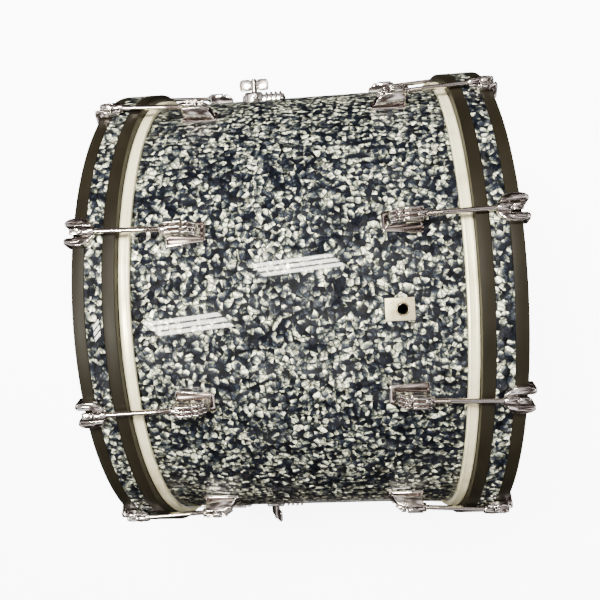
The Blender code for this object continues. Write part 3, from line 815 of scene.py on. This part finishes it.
class DRUM_OT_spurs(bpy.types.Operator):
    """Shape the spur brackets, legs, rubber feet and wing bolts"""
    bl_idname = "drum.spurs"
    bl_label = "Spurs"

    def bracket(self, top):
        base = SHELL_R + GAP
        plate_top = base + 0.0056
        tail, lead, half = -0.0190, 0.0470, 0.0168
        corner = 0.0090
        outline = []
        for centre_x, centre_y, start in (
                (lead - corner, half - corner, 0.0), (tail + corner, half - corner, pi / 2),
                (tail + corner, corner - half, pi), (lead - corner, corner - half, 1.5 * pi)):
            for step in range(5):
                angle = start + step * pi / 8
                outline.append((centre_x + corner * cos(angle), centre_y + corner * sin(angle)))
        flat = Matrix.Translation((0, 0, (base + plate_top) / 2))
        solids = [slab(outline, plate_top - base, flat, 0.0018, 4)]
        solids.append(box((-0.0130, -0.0134, base + 0.002), (0.0130, 0.0134, top), 0.0032, 5))
        barrel = top - 0.0028
        solids.append(box((-0.0165, -0.0105, base + 0.002), (0.0440, 0.0105, barrel), 0.0040, 5))
        for rib in range(4):
            x = 0.0165 + rib * 0.0066
            solids.append(box((x, -0.0118, base + 0.004), (x + 0.0036, 0.0118, top - 0.0008),
                              0.0013, 3))
        return gather(solids)

    def wing_bolt(self, tip, wing_low, top):
        solids = [turned([
            (tip, 0.0), (tip, 0.0024), (tip + 0.0006, 0.0030), (wing_low - 0.0044, 0.0030),
            (wing_low - 0.0040, 0.0041), (top - 0.0012, 0.0041), (top, 0.0030), (top, 0.0)],
            Matrix.Identity(4), 32)]
        upright = Matrix.Rotation(pi / 2, 4, "X")
        for hand in (-1, 1):
            wing = [
                (0.0034, wing_low + 0.0020), (0.0060, wing_low), (0.0186, wing_low),
                (0.0204, wing_low + 0.0016), (0.0209, wing_low + 0.0060), (0.0209, top - 0.0060),
                (0.0196, top - 0.0018), (0.0170, top - 0.0004), (0.0070, top - 0.0004),
                (0.0034, top - 0.0030)]
            solids.append(slab([(hand * x, z) for x, z in wing], 0.0034, upright, 0.0013, 4))
        return gather(solids)

    def foot(self, pivot, down, to_floor):
        reach = FOOT_LENGTH
        widths = [0.0072, 0.0088, 0.0094, 0.0094, 0.0088, 0.0088, 0.0097, 0.0097, 0.0091,
                  0.0091, 0.0101, 0.0104, 0.0110]
        profile = [(0.0, LEG_R + GAP)]
        profile += [(reach * step / (len(widths) - 1), width)
                    for step, width in enumerate(widths)]
        under_floor, socket = reach * 1.6, reach * 0.62
        profile += [(under_floor, widths[-1]), (under_floor, 0.0), (socket, 0.0),
                    (socket, LEG_R + GAP)]
        work = turned(profile, aimed(pivot + down * (to_floor - reach), down), 48)
        everything = list(work.verts) + list(work.edges) + list(work.faces)
        cut = bmesh.ops.bisect_plane(work, geom=everything, plane_co=(0, 0, 0),
                                     plane_no=(0, 0, -1), clear_outer=True)
        rim = [item for item in cut["geom_cut"] if isinstance(item, bmesh.types.BMEdge)]
        bmesh.ops.contextual_create(work, geom=rim)
        bmesh.ops.recalc_face_normals(work, faces=work.faces)
        return work

    def execute(self, context):
        looks = context.scene.drum_looks
        for label, hand in HANDS.items():
            pivot = Vector(JOINTS[label + "_wing_bolt_turn"]["pos_m"])
            down = -Vector(JOINTS[label + "_spur_slide"]["axis"]).normalized()
            outward = Matrix.Rotation(-hand * pi / 2, 4, "X")
            low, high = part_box(label + "_spur_bracket")
            top = max(abs(low[1]), abs(high[1]))
            stand = Matrix.Translation((pivot.x, 0, AXIS_Z)) @ outward
            bracket = settle(label + "_bracket_casting", self.bracket(top), "cast_chrome", looks,
                             stands_for=[label + "_spur_bracket"], place=stand)
            carve(bracket, bar(pivot - down * 0.05, pivot + down * 0.05, LEG_R + 0.0004))
            to_floor = AXIS_Z / -down.z
            leg_top = pivot - down * 0.0350
            leg_end = pivot + down * (to_floor - FOOT_LENGTH * 0.40)
            settle(label + "_leg_rod", bar(leg_top, leg_end, LEG_R, segments=40, width=0.0009),
                   "plated_steel", looks, body=label + "_spur",
                   stands_for=[label + "_spur_leg"])
            settle(label + "_foot_rubber", self.foot(pivot, down, to_floor), "black_rubber", looks,
                   body=label + "_spur", stands_for=[label + "_spur_foot"])
            low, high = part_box(label + "_spur_wing_bolt")
            reaches = sorted((abs(low[1]), abs(high[1])))
            tip, crest = [reach - abs(pivot.y) for reach in reaches]
            turn = Matrix.Rotation(WING_TURN[label], 4, "Z")
            settle(label + "_wing_bolt_steel", self.wing_bolt(tip, crest - 0.0165, crest),
                   "plated_steel", looks, body=label + "_wing_bolt",
                   stands_for=[label + "_spur_wing_bolt"],
                   place=Matrix.Translation(pivot) @ outward @ turn)
        return {"FINISHED"}


class DRUM_OT_stage(bpy.types.Operator):
    """Set the pale floor, the soft lamps, the surroundings and the camera over the drum"""
    bl_idname = "drum.stage"
    bl_label = "Stage"

    def lamp(self, name, place, aim, size, power):
        light = bpy.data.lights.new(name, "AREA")
        light.shape = "RECTANGLE"
        light.size, light.size_y = size
        light.energy = power
        holder = bpy.data.objects.new(name, light)
        bpy.context.scene.collection.objects.link(holder)
        holder.location = place
        look = Vector(aim) - Vector(place)
        holder.rotation_euler = look.to_track_quat("-Z", "Y").to_euler()
        return holder

    def surroundings(self, sky_light):
        """Clouded light round the drum, behind a plain pale backdrop for the camera."""
        world = bpy.data.worlds.new("studio")
        world.use_nodes = True
        nodes, links = world.node_tree.nodes, world.node_tree.links
        sky = nodes["Background"]
        backdrop = nodes.new("ShaderNodeBackground")
        backdrop.inputs["Color"].default_value = (1.0, 1.0, 1.0, 1.0)
        backdrop.inputs["Strength"].default_value = BACKDROP
        place = nodes.new("ShaderNodeTexCoord")
        split = nodes.new("ShaderNodeSeparateXYZ")
        clouds = nodes.new("ShaderNodeTexNoise")
        clouds.inputs["Scale"].default_value = 4.6
        clouds.inputs["Detail"].default_value = 1.0
        rise = nodes.new("ShaderNodeMath")
        rise.operation = "MULTIPLY_ADD"
        rise.inputs[1].default_value = 0.10
        ramp = nodes.new("ShaderNodeValToRGB")
        tones = ((0.47, (0.022, 0.018, 0.016)), (0.56, (0.13, 0.095, 0.085)),
                 (0.62, (0.40, 0.36, 0.34)), (0.70, (2.4, 2.4, 2.4)))
        fill_ramp(ramp.color_ramp, tones)
        links.new(place.outputs["Generated"], split.inputs[0])
        links.new(place.outputs["Generated"], clouds.inputs["Vector"])
        links.new(split.outputs["Z"], rise.inputs[0])
        links.new(clouds.outputs["Fac"], rise.inputs[2])
        links.new(rise.outputs[0], ramp.inputs["Fac"])
        links.new(ramp.outputs["Color"], sky.inputs["Color"])
        sky.inputs["Strength"].default_value = sky_light
        ray = nodes.new("ShaderNodeLightPath")
        blend = nodes.new("ShaderNodeMixShader")
        links.new(ray.outputs["Is Camera Ray"], blend.inputs[0])
        links.new(sky.outputs[0], blend.inputs[1])
        links.new(backdrop.outputs[0], blend.inputs[2])
        links.new(blend.outputs[0], nodes["World Output"].inputs["Surface"])
        return world

    def execute(self, context):
        stage = context.scene.drum_stage
        floor = bmesh.new()
        half_floor = 6.0
        bmesh.ops.create_grid(floor, x_segments=1, y_segments=1, size=half_floor)
        mesh = bpy.data.meshes.new("studio_floor")
        floor.to_mesh(mesh)
        floor.free()
        mesh.materials.append(floor_paint("floor_finish"))
        ground = bpy.data.objects.new("studio_floor", mesh)
        context.scene.collection.objects.link(ground)
        ground.visible_diffuse = False
        ground.visible_glossy = False
        middle = (0.0, 0.0, AXIS_Z)
        power = stage.lamp_power
        key = self.lamp("key_lamp", (-0.3, 0.85, 2.6), middle, (1.3, 0.7), power)
        fill = self.lamp("fill_lamp", (0.9, -1.6, 1.6), middle, (1.0, 0.8), power * 0.025)
        key.visible_glossy = False
        fill.visible_glossy = False
        for label, x in (("left", -2.3), ("right", 2.3)):
            wash = self.lamp(label + "_wash", (x, 0.3, 0.9), middle, (1.2, 1.2), power * 0.15)
            wash.visible_glossy = False
        self.lamp("left_strip", (-1.9, 0.5, 1.1), middle, (0.25, 1.1), power * 0.04)
        self.lamp("right_strip", (1.9, -0.2, 1.3), middle, (0.25, 1.1), power * 0.06)
        for label, x, y in (("near", -0.275, 0.860), ("far", -0.930, -0.262)):
            for index, offset in enumerate((-0.115, 0.0, 0.115)):
                tube = self.lamp("%s_tube_%d" % (label, index + 1),
                                 (x - offset * sin(CEILING_TURN), y + offset * cos(CEILING_TURN),
                                  CEILING_HEIGHT), (x, y, 0.0), (0.500, 0.076), power * 0.080)
                tube.rotation_euler = (0.0, 0.0, CEILING_TURN)
                tube.visible_diffuse = False
                tube.data.color = (1.0, 0.97, 0.84)
        context.scene.world = self.surroundings(stage.sky_light)
        camera = bpy.data.objects.new("camera", bpy.data.cameras.new("camera"))
        context.scene.collection.objects.link(camera)
        camera.data.sensor_width = 36.0
        camera.data.lens = stage.lens
        camera.location = stage.camera_place
        camera.rotation_euler = stage.camera_turn
        context.scene.camera = camera
        return {"FINISHED"}


class DRUM_PT_panel(bpy.types.Panel):
    """Lists the drum's building steps"""
    bl_idname = "DRUM_PT_panel"
    bl_label = "Bass Drum"
    bl_space_type = "VIEW_3D"
    bl_region_type = "UI"
    bl_category = "Drum"

    def draw(self, context):
        column = self.layout.column()
        for name in DrumLooks.__annotations__:
            column.prop(context.scene.drum_looks, name)
        for name in DrumStage.__annotations__:
            column.prop(context.scene.drum_stage, name)
        for step in STEPS:
            column.operator(step.bl_idname)


STEPS = (DRUM_OT_stage, DRUM_OT_shell, DRUM_OT_heads, DRUM_OT_hoops, DRUM_OT_claws,
         DRUM_OT_lugs, DRUM_OT_rods, DRUM_OT_badge, DRUM_OT_spurs)
CLASSES = (DrumLooks, DrumStage, *STEPS, DRUM_PT_panel)


def register():
    for item in CLASSES:
        bpy.utils.register_class(item)
    bpy.types.Scene.drum_looks = PointerProperty(type=DrumLooks)
    bpy.types.Scene.drum_stage = PointerProperty(type=DrumStage)


def unregister():
    del bpy.types.Scene.drum_stage
    del bpy.types.Scene.drum_looks
    for item in reversed(CLASSES):
        bpy.utils.unregister_class(item)


def main():
    register()
    for step in STEPS:
        group, name = step.bl_idname.split(".")
        getattr(getattr(bpy.ops, group), name)()


if __name__ == "__main__":
    main()
